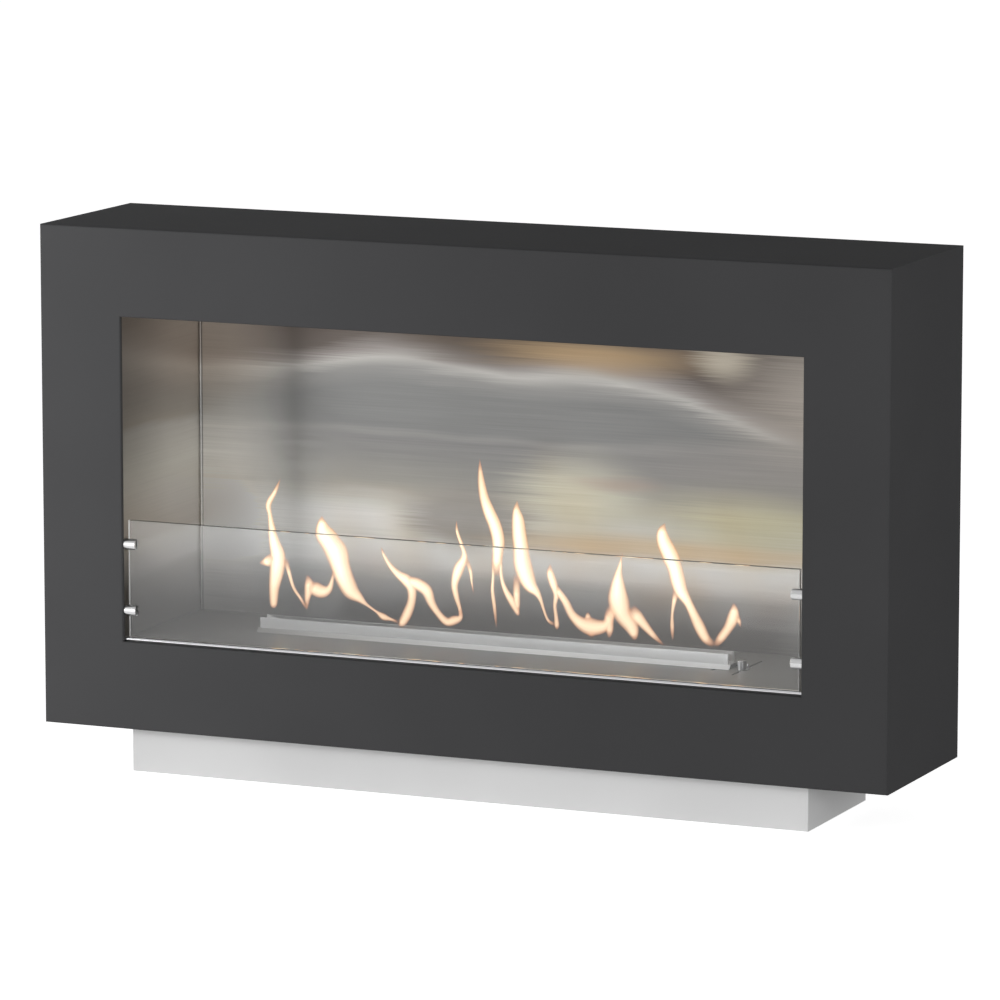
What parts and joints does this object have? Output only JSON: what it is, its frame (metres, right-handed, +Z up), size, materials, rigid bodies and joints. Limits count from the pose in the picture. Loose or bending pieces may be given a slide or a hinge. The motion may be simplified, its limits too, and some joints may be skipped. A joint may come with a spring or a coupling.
{
  "type": "ventless fireplace",
  "caption": "Free-standing ventless fireplace: dark framed cabinet on a pale plinth, steel-lined firebox, slot burner with a sliding shutter and a low glass screen.",
  "frame": {"origin": "middle of the plinth's underside", "axes": "+X along the front to the right, -Y out of the front, +Z up"},
  "size_m": [1.25, 0.28, 0.765],
  "materials": {
    "dark_powder_coat": "fine matt powder coat, charcoal grey",
    "light_powder_coat": "matt powder coat, pale grey",
    "brushed_stainless": "stainless sheet with a horizontal brushed grain",
    "polished_stainless": "polished stainless bar",
    "satin_stainless": "turned satin stainless",
    "clear_glass": "clear toughened glass with polished edges",
    "galvanised_sheet": "dull galvanised sheet",
    "zinc_plated_fastener": "zinc-plated steel",
    "ceramic_fibre": "white ceramic fibre felt",
    "mineral_board": "compressed mineral board"
  },
  "bodies": {
    "cabinet": {"casing_top": "dark_powder_coat", "casing_bottom": "dark_powder_coat", "casing_left": "dark_powder_coat", "casing_right": "dark_powder_coat", "corner_angles": "galvanised_sheet", "back_panel": "galvanised_sheet", "back_panel_screws": "zinc_plated_fastener", "plinth": "light_powder_coat", "plinth_bolts": "zinc_plated_fastener", "plinth_nuts": "zinc_plated_fastener", "firebox_liner": "brushed_stainless", "firebox_floor": "brushed_stainless", "firebox_ceiling": "brushed_stainless", "liner_rivets": "zinc_plated_fastener", "opening_gasket": "ceramic_fibre", "frame_studs": "zinc_plated_fastener", "frame_nuts": "zinc_plated_fastener", "floor_support_left": "galvanised_sheet", "floor_support_right": "galvanised_sheet", "rear_insulation_board": "mineral_board", "top_insulation_board": "mineral_board", "front_rod": "polished_stainless", "glass_holder_lower_left": "satin_stainless", "glass_holder_lower_right": "satin_stainless", "glass_holder_upper_left": "satin_stainless", "glass_holder_upper_right": "satin_stainless", "glass_holder_screws": "zinc_plated_fastener", "burner_front_lip": "brushed_stainless", "burner_rear_lip": "brushed_stainless", "burner_end_cap_left": "brushed_stainless", "burner_end_cap_right": "brushed_stainless", "burner_deck": "galvanised_sheet", "shutter_guide_left": "galvanised_sheet", "shutter_guide_right": "galvanised_sheet", "deck_spacer_front": "galvanised_sheet", "deck_spacer_rear": "galvanised_sheet", "deck_studs": "zinc_plated_fastener", "deck_nuts": "zinc_plated_fastener", "fuel_tank": "brushed_stainless", "tank_fibre_pad": "ceramic_fibre", "spill_tray": "galvanised_sheet"},
    "shutter": {"shutter_plate": "galvanised_sheet", "shutter_tongue": "brushed_stainless", "shutter_foot_plate": "brushed_stainless", "shutter_pull_pin": "polished_stainless", "shutter_guide_pin": "polished_stainless"},
    "glass": {"glass_screen": "clear_glass"}
  },
  "joints": [
    {"name": "shutter_slide", "type": "slide", "parent": "cabinet", "child": "shutter", "axis": [0, 1, 0], "range_m": [-0.027, 0.052]},
    {"name": "glass_lift", "type": "slide", "parent": "cabinet", "child": "glass", "axis": [0, 0, 1], "range_m": [0, 0.14]}
  ]
}
